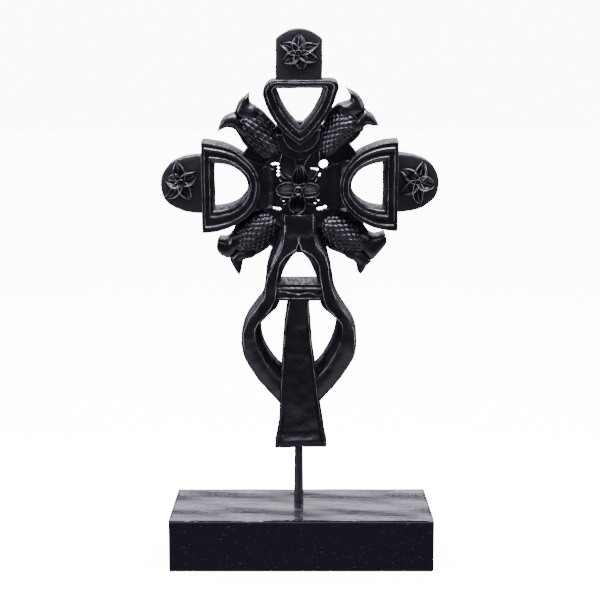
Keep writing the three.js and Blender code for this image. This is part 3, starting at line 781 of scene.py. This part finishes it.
def band(one):
    """One side of the A and the loop: a line along each edge, and a flat or a dish between them."""
    fine = flowing(one["outer"], 900)
    breaks = [int(np.argmin(np.hypot(*(fine - place).T))) for place in one["breaks"]]
    at = [0, *breaks, len(fine) - 1]
    outer = [spaced(fine[a:b + 1], steps + 1)[:-1] for a, b, steps in zip(at, at[1:], BAND_STEPS)]
    outer = np.vstack(outer + [fine[-1:]])
    inner = np.vstack([spaced(line(one["head"], one["apex"]), BAND_STEPS[0] + 1)[:-1],
                       bow(one["apex"], one["pull"], one["foot"], BAND_STEPS[1] + 1)[:-1],
                       spaced(line(one["foot"], one["hole"][0]), BAND_STEPS[2] + 1)[:-1],
                       flowing(one["hole"], BAND_STEPS[3] + 1)])
    rows = []
    for row, (a, b) in enumerate(zip(outer, inner)):
        first, second = (np.interp(row, BAND_ROWS, shares) for shares in one["lines"])
        # The lips start at row 13, below the head, and from row 98 the lines sink.
        lower = np.clip((row - 98) / 34, 0, 1)
        lip = np.clip((row - 13) / 4, 0, 1)
        level = 23.8 - 0.9 * lower - 2 * np.clip((row - 118) / 50, 0, 1)
        middle = (first + second) / 2
        profile = eased([
            (0, 0), (0, 19.1), (first * 0.55, level - 1.2 - 1.2 * lower),
            (first - 0.025, level - 0.3 - 1.9 * lower), (first, level + 0.8 - 2.9 * lower),
            (first + 0.03, level - 1.8 * lower), (middle, level - 0.3 + 0.2 * lower),
            (second - 0.03, level - 0.1 * lower), (second, level + 0.7 * lip - 0.2 * lower),
            (second + (1 - second) * 0.35, level - 1.4 * lip - 1.6 * lower),
            (1, level - 3.6 * lip - 4 * lower), (1, 0)], 0.3)
        profile[1:-1, 1] -= 1.1 * max(0, (4.5 - row) / 4.5)**1.5
        share = profile[:, :1]
        rows.append(np.hstack([a * (1 - share) + b * share, profile[:, 1:]]))
    return capped("band", np.stack(rows))


def neck_plate():
    """The head of the A, which slopes softly down to the flower."""
    left, right = (spaced(line((x, 208), (x, 225.4)), 50) for x in (-10.4, 9))

    def top(s, t):
        return 23.5 + 0.6 * np.clip(t * 4, 0, 1) - 1.1 * np.clip((t - 0.74) / 0.26, 0, 1)**1.5
    return blade("neck_plate", left, right, top, across=14)


def crossbar():
    """The bar under the A, with fine mouldings across it; the lowest but one wanders."""
    from_x, to_x, low, high = -17.2, 16.6, 161.6, 174.8
    left, right = (spaced(line((x, low), (x, high)), 80) for x in (from_x, to_x))

    def top(s, t):
        x, y = from_x + (to_x - from_x) * s, low + t * (high - low)
        wandering = np.interp(x, (-17.4, -0.8, 6, 17.7), (168.9, 166.4, 167.6, 165.1))
        mouldings = ((163.4, 0.45), (wandering, 0.55), (171.2, 0.6), (174.3, 0.35))
        lines = sum(rise * np.exp(-((y - at) / 0.35)**2) for at, rise in mouldings)
        lines = lines * (0.75 + 0.25 * np.sin(x * 1.1 + y)) * np.sin(np.pi * s)**0.3
        return 23.9 - 0.5 * np.exp(-((y - 169.4) / 1.2)**2) + lines - 0.9 * np.abs(2 * s - 1)**14
    return blade("crossbar", left, right, top, across=30)


def leg():
    """The flared leg: chamfered sides, and a raised panel that is scooped forward at its foot."""
    left = flowing([(-8.4, 164.4), (-8.7, 160), (-11.6, 141), (-14.4, 101), (-15.2, 76), (-16.6, 59),
                    (-19.2, 45.4)], 150)
    right = flowing([(7, 164.4), (7.1, 160), (8.6, 135), (12.2, 104), (15.2, 80), (18, 61),
                     (20.6, 46.6)], 150)

    def top(s, t):
        inwards = np.minimum(s, 1 - s) * (right[:, 0] - left[:, 0])[:, None]
        chamfer = 1.3 + 2.6 * t**0.6
        edge = np.minimum(inwards / chamfer, (1 - t) * 118.5 / 4.6)
        panel = np.clip((edge - 1) / 0.12, 0, 1)
        lip = np.exp(-((edge - 1.14) / 0.12)**2)
        dip = np.clip((t - 0.7) / 0.19, 0, 1)**1.5 * panel
        scoop = np.clip((t - 0.885) / 0.06, 0, 1)**1.6 * panel
        rounded = 1 - np.sqrt(1 - (1 - np.clip(inwards / 0.5, 0, 1))**2)
        bead = np.exp(-((inwards - 0.6) / 0.26)**2)
        return (22.4 + 0.9 * np.clip(edge, 0, 1) + 0.6 * panel + 0.3 * lip - 1.3 * dip + 3 * scoop
                - 0.6 * rounded + 0.55 * bead)
    return blade("leg", left, right, top, across=64, crowded=0.7)


def carved_cross():
    """Everything that is cut from the board, as one solid."""
    middle = drilled(one_solid("middle", web() + [neck(-1), neck(1)] + centre_flower()))
    frames = d_frames() + [triangle()] + cups()
    tabs = [side_tab(-1, 30.6, 225.6, 247, 268), side_tab(1, 30.6, 226.8, 248, 269), top_tab()]
    flowers = (flower((-86.6, 249), LEFT_FLOWER) + flower((85.9, 249.4), RIGHT_FLOWER)
               + flower((-0.8, 341.8), TOP_FLOWER))
    buds = [form for one in BUDS for form in bud(one)]
    upright = [band(one) for one in BANDS] + [neck_plate(), crossbar(), leg()]
    return one_solid("carved_cross", [middle] + frames + tabs + flowers + buds + upright)


# Finishes

def linear(hex_colour):
    """An sRGB hex colour as the linear values that shaders read."""
    parts = [int(hex_colour.lstrip('#')[k:k + 2], 16) / 255 for k in (0, 2, 4)]
    return tuple(c / 12.92 if c <= 0.04045 else ((c + 0.055) / 1.055)**2.4 for c in parts) + (1.0,)


def add(tree, kind, links=(), sockets=(), **settings):
    """Adds one node with its settings and its sockets' values, and links its inputs."""
    node = tree.nodes.new(kind)
    for key, value in settings.items():
        setattr(node, key, value)
    for key, value in dict(sockets).items():
        node.inputs[key].default_value = value
    for key, source in dict(links).items():
        tree.links.new(source, node.inputs[key])
    return node


def new_finish(name):
    material = bpy.data.materials.new(name)
    material.use_nodes = True
    material.node_tree.nodes.clear()
    return material, material.node_tree


def ebonised_carving():
    """Close-grained hardwood, stained black and waxed: thin crisp lights on edges, partly painted pale on
    crests, and soft lilac on slopes.
    """
    colours = bpy.context.scene.finish_colours
    material, tree = new_finish("ebonised_waxed_hardwood")
    place = add(tree, 'ShaderNodeTexCoord').outputs['Object']
    # Grain runs up the board: pores about 0.5 mm wide and 9 mm long.
    grain_place = add(tree, 'ShaderNodeMapping', {'Vector': place}, sockets={'Scale': (1900, 1900, 110)})
    grain = add(tree, 'ShaderNodeTexNoise', {'Vector': grain_place.outputs[0]},
                sockets={'Scale': 1.0, 'Detail': 3.0, 'Roughness': 0.6})
    # Gouge marks, about 4 mm across.
    gouge = add(tree, 'ShaderNodeTexNoise', {'Vector': place}, sockets={'Scale': 240.0, 'Detail': 1.5})
    # Rubbed and unrubbed wax in patches of about 15 mm.
    patch = add(tree, 'ShaderNodeTexNoise', {'Vector': place}, sockets={'Scale': 65.0, 'Detail': 3.0})
    stain = add(tree, 'ShaderNodeMix', {'Factor': patch.outputs['Fac']}, data_type='RGBA')
    stain.inputs['A'].default_value = linear(colours.stain)
    stain.inputs['B'].default_value = linear(colours.stain_worn)
    # The grounds of the tabs are cut back with a small gouge, which leaves them matt.
    ground = add(tree, 'ShaderNodeAttribute', attribute_name="ground")
    # Sharp crests are painted pale: a painted highlight for the thin line of light that a crest catches.
    relief = add(tree, 'ShaderNodeAttribute', attribute_name="relief")
    highlight_mask = add(tree, 'ShaderNodeMapRange', {'Value': relief.outputs['Fac']},
                sockets={'From Min': 1.1, 'From Max': 2.7})
    # The painted highlight comes and goes over about 8 mm.
    uneven = add(tree, 'ShaderNodeTexNoise', {'Vector': place}, sockets={'Scale': 130.0, 'Detail': 2.0})
    highlight_breaks = add(tree, 'ShaderNodeMapRange', {'Value': uneven.outputs['Fac']},
               sockets={'From Min': 0.35, 'From Max': 0.6, 'To Min': 0.12})
    highlight_mask = add(tree, 'ShaderNodeMath', {0: highlight_mask.outputs[0], 1: highlight_breaks.outputs[0]}, operation='MULTIPLY')
    tone = add(tree, 'ShaderNodeMix', {'Factor': highlight_mask.outputs[0], 'A': stain.outputs['Result']},
               data_type='RGBA')
    tone.inputs['B'].default_value = linear(colours.painted_highlight)
    waxed = add(tree, 'ShaderNodeMapRange', {'Value': patch.outputs['Fac']},
                sockets={'From Min': 0.3, 'From Max': 0.7, 'To Min': colours.polish - 0.05,
                         'To Max': colours.polish + 0.1})
    # Edges and the walls of openings keep the marks of the saw, about 2 mm by 11 mm, and get less wax.
    wall = add(tree, 'ShaderNodeAttribute', attribute_name="wall")
    sawn_place = add(tree, 'ShaderNodeMapping', {'Vector': place}, sockets={'Scale': (520, 90, 520)})
    sawn = add(tree, 'ShaderNodeTexNoise', {'Vector': sawn_place.outputs[0]},
               sockets={'Scale': 1.0, 'Detail': 3.0})
    dull = add(tree, 'ShaderNodeMapRange', {'Value': sawn.outputs['Fac']},
               sockets={'From Min': 0.35, 'From Max': 0.65, 'To Min': 0.3, 'To Max': 0.75})
    rough = add(tree, 'ShaderNodeMix',
                {'Factor': wall.outputs['Fac'], 'A': waxed.outputs[0], 'B': dull.outputs[0]})
    rough = add(tree, 'ShaderNodeMix', {'Factor': ground.outputs['Fac'], 'A': rough.outputs['Result']},
                sockets={'B': 0.55})
    marks = add(tree, 'ShaderNodeMath', {0: sawn.outputs['Fac'], 1: wall.outputs['Fac']},
                operation='MULTIPLY')
    cut_marks = add(tree, 'ShaderNodeBump', {'Height': marks.outputs[0]},
                    sockets={'Strength': 1.0, 'Distance': 0.0012})
    low = add(tree, 'ShaderNodeBump', {'Height': gouge.outputs['Fac'], 'Normal': cut_marks.outputs[0]},
              sockets={'Strength': 1.0, 'Distance': 0.00025})
    high = add(tree, 'ShaderNodeBump', {'Height': grain.outputs['Fac'], 'Normal': low.outputs[0]},
               sockets={'Strength': 0.5, 'Distance': 0.00006})
    shader = add(tree, 'ShaderNodeBsdfPrincipled',
                 {'Base Color': tone.outputs['Result'], 'Roughness': rough.outputs[0],
                  'Normal': high.outputs[0]},
                 sockets={'IOR': 1.5, 'Specular Tint': linear("#f6f4fd")})
    add(tree, 'ShaderNodeOutputMaterial', {'Surface': shader.outputs[0]})
    return material


def blackened_rod():
    """Round steel rod under a thin satin black: one soft light down its side."""
    colours = bpy.context.scene.finish_colours
    material, tree = new_finish("satin_black_steel")
    place = add(tree, 'ShaderNodeTexCoord').outputs['Object']
    # Fine marks along the rod, about 1 mm by 11 mm.
    drawn = add(tree, 'ShaderNodeMapping', {'Vector': place}, sockets={'Scale': (900, 900, 90)})
    streak = add(tree, 'ShaderNodeTexNoise', {'Vector': drawn.outputs[0]},
                 sockets={'Scale': 1.0, 'Detail': 2.0})
    tone = add(tree, 'ShaderNodeMix', {'Factor': streak.outputs['Fac']}, data_type='RGBA')
    tone.inputs['A'].default_value = linear(colours.rod_black)
    tone.inputs['B'].default_value = linear("#26262c")
    rough = add(tree, 'ShaderNodeMapRange', {'Value': streak.outputs['Fac']},
                sockets={'To Min': 0.34, 'To Max': 0.5})
    bump = add(tree, 'ShaderNodeBump', {'Height': streak.outputs['Fac']},
               sockets={'Strength': 0.4, 'Distance': 0.0001})
    shader = add(tree, 'ShaderNodeBsdfPrincipled',
                 {'Base Color': tone.outputs['Result'], 'Roughness': rough.outputs[0],
                  'Normal': bump.outputs[0]},
                 sockets={'IOR': 1.5})
    add(tree, 'ShaderNodeOutputMaterial', {'Surface': shader.outputs[0]})
    return material


def lacquered_block():
    """Open-grained wood, stained black and lacquered: long pores, some filled with pale dust."""
    colours = bpy.context.scene.finish_colours
    material, tree = new_finish("lacquered_open_grained_wood")
    place = add(tree, 'ShaderNodeTexCoord').outputs['Object']
    # Pores are about 0.9 mm wide and 9 mm long, along the block.
    along = add(tree, 'ShaderNodeMapping', {'Vector': place}, sockets={'Scale': (110, 1100, 1100)})
    pores = add(tree, 'ShaderNodeTexNoise', {'Vector': along.outputs[0]},
                sockets={'Scale': 1.0, 'Detail': 4.0, 'Roughness': 0.65, 'Distortion': 0.4})
    # The plane's waves are about 7 mm wide and 40 mm long.
    wide = add(tree, 'ShaderNodeMapping', {'Vector': place}, sockets={'Scale': (24, 150, 150)})
    waves = add(tree, 'ShaderNodeTexNoise', {'Vector': wide.outputs[0]},
                sockets={'Scale': 1.0, 'Detail': 3.0, 'Roughness': 0.55, 'Distortion': 0.6})
    # Dust lies in short flecks: the pattern is about 0.8 mm by 3 mm, and only its peaks show.
    fleck_place = add(tree, 'ShaderNodeMapping', {'Vector': place}, sockets={'Scale': (330, 1300, 1300)})
    flecks = add(tree, 'ShaderNodeTexNoise', {'Vector': fleck_place.outputs[0]},
                 sockets={'Scale': 1.0, 'Detail': 2.0})
    dust = add(tree, 'ShaderNodeMapRange', {'Value': flecks.outputs['Fac']},
               sockets={'From Min': 0.68, 'From Max': 0.76, 'To Max': 0.4})
    tone = add(tree, 'ShaderNodeMix', {'Factor': dust.outputs[0]}, data_type='RGBA')
    tone.inputs['A'].default_value = linear(colours.block_stain)
    tone.inputs['B'].default_value = linear(colours.pore)
    rough = add(tree, 'ShaderNodeMapRange', {'Value': waves.outputs['Fac']},
                sockets={'From Min': 0.3, 'From Max': 0.7, 'To Min': 0.04, 'To Max': 0.13})
    # The top was planed by hand, and waves more than the sides do.
    parts = add(tree, 'ShaderNodeSeparateXYZ', {'Vector': place})
    top = bpy.context.scene.stand_sizes.height
    planed = add(tree, 'ShaderNodeMapRange', {'Value': parts.outputs['Z']},
                 sockets={'From Min': top - 0.002, 'From Max': top - 0.0012, 'To Min': 0.12})
    waved = add(tree, 'ShaderNodeMath', {0: waves.outputs['Fac'], 1: planed.outputs[0]},
                operation='MULTIPLY')
    fine = add(tree, 'ShaderNodeMath', {0: pores.outputs['Fac'], 1: planed.outputs[0]},
               operation='MULTIPLY')
    streaks = add(tree, 'ShaderNodeMath', {0: fine.outputs[0], 2: waved.outputs[0]}, sockets={1: 0.035},
                  operation='MULTIPLY_ADD')
    low = add(tree, 'ShaderNodeBump', {'Height': streaks.outputs[0]},
              sockets={'Strength': 1.0, 'Distance': 0.0036})
    high = add(tree, 'ShaderNodeBump', {'Height': pores.outputs['Fac'], 'Normal': low.outputs[0]},
               sockets={'Strength': 0.9, 'Distance': 0.00007})
    shader = add(tree, 'ShaderNodeBsdfPrincipled',
                 {'Base Color': tone.outputs['Result'], 'Roughness': rough.outputs[0],
                  'Normal': high.outputs[0]},
                 sockets={'IOR': 1.5, 'Specular Tint': linear("#efeaff"), 'Coat Weight': 0.6,
                          'Coat Roughness': 0.03})
    add(tree, 'ShaderNodeOutputMaterial', {'Surface': shader.outputs[0]})
    return material


# Operators

class MESH_OT_cross(bpy.types.Operator):
    """Carve the cross and stand it on its rod"""
    bl_idname = "mesh.carved_cross_add"
    bl_label = "Carved cross"

    def execute(self, context):
        piece = stood_up(measured_relief(hand_cut(carved_cross())))
        finished(piece, ebonised_carving())
        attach(piece, "root")
        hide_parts("cross")
        return {'FINISHED'}


class MESH_OT_rod(bpy.types.Operator):
    """Turn the rod between the block and the leg"""
    bl_idname = "mesh.cross_rod_add"
    bl_label = "Rod"

    def execute(self, context):
        sizes = context.scene.stand_sizes
        turn = np.linspace(0, 2 * math.pi, 41)
        axis = BOARD / 2
        rows = [[(ROD_SHIFT, -ROD_SUNK, axis)] * len(turn)]
        for share in np.linspace(0, 1, 24):
            radius = (sizes.rod_foot * (1 - share) + sizes.rod_head * share) * TO_MILLIMETRES
            up = -ROD_SUNK + share * ROD_LENGTH
            rows.append([(ROD_SHIFT + radius * math.cos(a), up, axis + radius * math.sin(a)) for a in turn])
        rows.append([(ROD_SHIFT, ROD_LENGTH - ROD_SUNK, axis)] * len(turn))
        piece = stood_up(laid("steel_rod", np.array(rows)))
        finished(piece, blackened_rod())
        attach(piece, "root")
        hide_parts("rod")
        return {'FINISHED'}


class MESH_OT_block(bpy.types.Operator):
    """Plane the block by hand, leaving its top gently waved"""
    bl_idname = "mesh.cross_block_add"
    bl_label = "Block"

    def execute(self, context):
        sizes = context.scene.stand_sizes
        low, high = BLOCK_LOW.x, BLOCK_LOW.x + sizes.width
        front, back, top = -sizes.depth / 2, sizes.depth / 2, sizes.height
        ease = 0.0009
        depth = np.linspace(front + ease, back - ease, 34)
        section = [(front, ease), (front, ease * 4)]
        section += [(front, z) for z in np.linspace(0.008, top - 0.004, 8)]
        section += [(front, top - ease), (front + ease * 0.3, top - ease * 0.3)]
        section += [(y, top) for y in depth]
        section += [(back - ease * 0.3, top - ease * 0.3), (back, top - ease)]
        section += [(back, z) for z in np.linspace(top - 0.004, 0.008, 8)] + [(back, ease)]
        section += [(back - ease, 0), (0.02, 0), (0, 0), (-0.02, 0), (front + ease, 0)]
        section = np.array(section)
        middle = np.array([0, top / 2])
        rows = [(low, 1), (low, 0.96), (low, 0.5), (low, 0.02), (low + ease, 0)]
        rows += [(x, 0) for x in np.linspace(low + 0.003, high - 0.003, 120)]
        rows += [(high - ease, 0), (high, 0.02), (high, 0.5), (high, 0.96), (high, 1)]
        lattice = []
        for x, share in rows:
            flat = section * (1 - share) + middle * share
            lattice.append([(x, y, z) for y, z in flat])
        lattice = np.array(lattice)
        x, y, z = lattice[..., 0], lattice[..., 1], lattice[..., 2]
        up = np.clip((z - top * 0.85) / (top * 0.15), 0, 1)
        # The plane left hollows 42 mm apart and 0.4 mm deep, which wander by 2 mm.
        ridge = 0.5 + 0.5 * np.cos((y + 0.012 + 0.002 * np.sin(x * 30)) / 0.042 * 2 * np.pi)
        wave = 0.0004 * ridge + 0.0001 * np.sin(x * 90 + y * 200)
        z -= up * np.clip(wave, 0, None)
        # The front right corner is knocked down a little.
        chip = np.exp(-((x - high) / 0.004)**2 - ((y - front) / 0.004)**2)
        z -= up * 0.0012 * chip
        piece = laid_in_metres("lacquered_block", np.concatenate([lattice, lattice[:, :1]], axis=1))
        finished(piece, lacquered_block())
        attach(piece, "root")
        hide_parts("base_block")
        return {'FINISHED'}


class SCENE_OT_stage(bpy.types.Operator):
    """Set up the floor, the studio light and the camera"""
    bl_idname = "scene.cross_stage_add"
    bl_label = "Stage"

    def execute(self, context):
        settings = context.scene.stage_settings
        paper, tree = new_finish("lit_white_paper")
        white = add(tree, 'ShaderNodeBsdfDiffuse', sockets={'Color': linear("#f7f7f7")})
        glow = add(tree, 'ShaderNodeEmission',
                   sockets={'Color': linear("#ffffff"), 'Strength': settings.glow})
        both = add(tree, 'ShaderNodeAddShader', {0: white.outputs[0], 1: glow.outputs[0]})
        add(tree, 'ShaderNodeOutputMaterial', {'Surface': both.outputs[0]})
        for name, at, turn in (("floor", (0, 0, 0), 0), ("backdrop", (0, BACKDROP_AT, 0), math.pi / 2)):
            bpy.ops.object.select_all(action='DESELECT')
            bpy.ops.mesh.primitive_plane_add(size=STAGE_SIZE, location=at, rotation=(turn, 0, 0))
            sheet = context.object
            sheet.name = name
            sheet.data.materials.append(paper)
            sheet.visible_glossy = False
            sheet.visible_diffuse = False
            sheet.visible_shadow = False

        world = bpy.data.worlds.new("studio")
        context.scene.world = world
        world.use_nodes = True
        tree = world.node_tree
        tree.nodes.clear()
        # The room is bright behind the object and overhead, and dark behind the camera.
        way = add(tree, 'ShaderNodeTexCoord').outputs['Generated']
        parts = add(tree, 'ShaderNodeSeparateXYZ', {'Vector': way})
        rear = add(tree, 'ShaderNodeMapRange', {'Value': parts.outputs['Y']},
                   sockets={'From Min': -0.35, 'From Max': 0.25, 'To Min': 0.03, 'To Max': 1.0})
        up = add(tree, 'ShaderNodeMapRange', {'Value': parts.outputs['Z']},
                 sockets={'From Min': -0.05, 'From Max': 0.02, 'To Min': 0.02, 'To Max': 1.0})
        strength = add(tree, 'ShaderNodeMath', {0: rear.outputs[0], 1: up.outputs[0]},
                       operation='MULTIPLY')
        high = add(tree, 'ShaderNodeMapRange', {'Value': parts.outputs['Z']},
                   sockets={'From Min': 0.24, 'From Max': 0.34, 'To Min': 0.1, 'To Max': 3.4})
        sky = add(tree, 'ShaderNodeMath', {0: strength.outputs[0], 1: high.outputs[0]},
                  operation='MULTIPLY')
        # Below the horizon the white floor is brightest close under the object.
        below = add(tree, 'ShaderNodeMapRange', {'Value': parts.outputs['Z']},
                    sockets={'From Min': -0.85, 'From Max': -0.45, 'To Min': 1.9, 'To Max': 0.07})
        under = add(tree, 'ShaderNodeMath', {0: parts.outputs['Z']}, sockets={1: -0.05},
                    operation='LESS_THAN')
        ground = add(tree, 'ShaderNodeMath', {0: below.outputs[0], 1: under.outputs[0]},
                     operation='MULTIPLY')
        strength = add(tree, 'ShaderNodeMath', {0: sky.outputs[0], 1: ground.outputs[0]}, operation='ADD')
        back = add(tree, 'ShaderNodeBackground', {'Strength': strength.outputs[0]},
                   sockets={'Color': linear("#efedf9")})
        add(tree, 'ShaderNodeOutputWorld', {'Surface': back.outputs[0]})

        for name, at, aim, size, power, colour in (
                ("front_fill", (0.0, -3.0, 0.9), (0, 0, 0.2), (2.4, 1.6), 120, "#f4f1ff"),
                ("overhead", (0.0, -0.15, 1.3), (0, 0, 0.2), (1.2, 0.8), 100, "#f4f1ff"),
                ("front_top", (0.0, -1.1, 1.2), (0, 0, 0.2), (0.8, 0.25), 4, "#efeaff"),
                ("left_box", (-1.3, -0.7, 0.6), (0, 0, 0.22), (0.4, 0.8), 16, "#efeaff"),
                ("right_box", (1.2, -0.2, 0.7), (0, 0, 0.22), (0.3, 0.8), 8, "#efeaff")):
            light = bpy.data.lights.new(name, 'AREA')
            light.shape = 'RECTANGLE'
            light.size, light.size_y = size
            light.energy = power
            light.color = linear(colour)[:3]
            lamp = bpy.data.objects.new(name, light)
            context.scene.collection.objects.link(lamp)
            lamp.location = at
            lamp.visible_glossy = name != "front_fill"
            lamp.rotation_euler = (Vector(aim) - Vector(at)).to_track_quat('-Z', 'Y').to_euler()

        lens = bpy.data.cameras.new("camera")
        lens.lens = settings.lens
        lens.sensor_width = 36
        lens.clip_start = 0.05
        lens.clip_end = 200
        camera = bpy.data.objects.new("camera", lens)
        context.scene.collection.objects.link(camera)
        camera.location = (0.0002, -settings.distance, settings.height)
        camera.rotation_euler = (math.pi / 2 - settings.pitch, 0, 0)
        context.scene.camera = camera
        return {'FINISHED'}


class VIEW3D_PT_cross(bpy.types.Panel):
    bl_label = "Carved cross"
    bl_space_type = 'VIEW_3D'
    bl_region_type = 'UI'
    bl_category = "Cross"

    def draw(self, context):
        layout = self.layout
        for group in ("cross_sizes", "stand_sizes", "finish_colours", "stage_settings"):
            settings = getattr(context.scene, group)
            for key in settings.bl_rna.properties.keys():
                if key not in ("rna_type", "name"):
                    layout.prop(settings, key)
        for made in (MESH_OT_cross, MESH_OT_rod, MESH_OT_block, SCENE_OT_stage):
            layout.operator(made.bl_idname)


CLASSES = (CrossSizes, StandSizes, FinishColours, StageSettings,
           MESH_OT_cross, MESH_OT_rod, MESH_OT_block, SCENE_OT_stage, VIEW3D_PT_cross)
GROUPS = {"cross_sizes": CrossSizes, "stand_sizes": StandSizes, "finish_colours": FinishColours,
          "stage_settings": StageSettings}


def register():
    for made in CLASSES:
        bpy.utils.register_class(made)
    for name, group in GROUPS.items():
        setattr(bpy.types.Scene, name, bpy.props.PointerProperty(type=group))


def unregister():
    for name in GROUPS:
        delattr(bpy.types.Scene, name)
    for made in reversed(CLASSES):
        bpy.utils.unregister_class(made)


def main():
    register()
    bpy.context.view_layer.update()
    bpy.ops.mesh.carved_cross_add()
    bpy.ops.mesh.cross_rod_add()
    bpy.ops.mesh.cross_block_add()
    bpy.ops.scene.cross_stage_add()


if __name__ == "__main__":
    main()
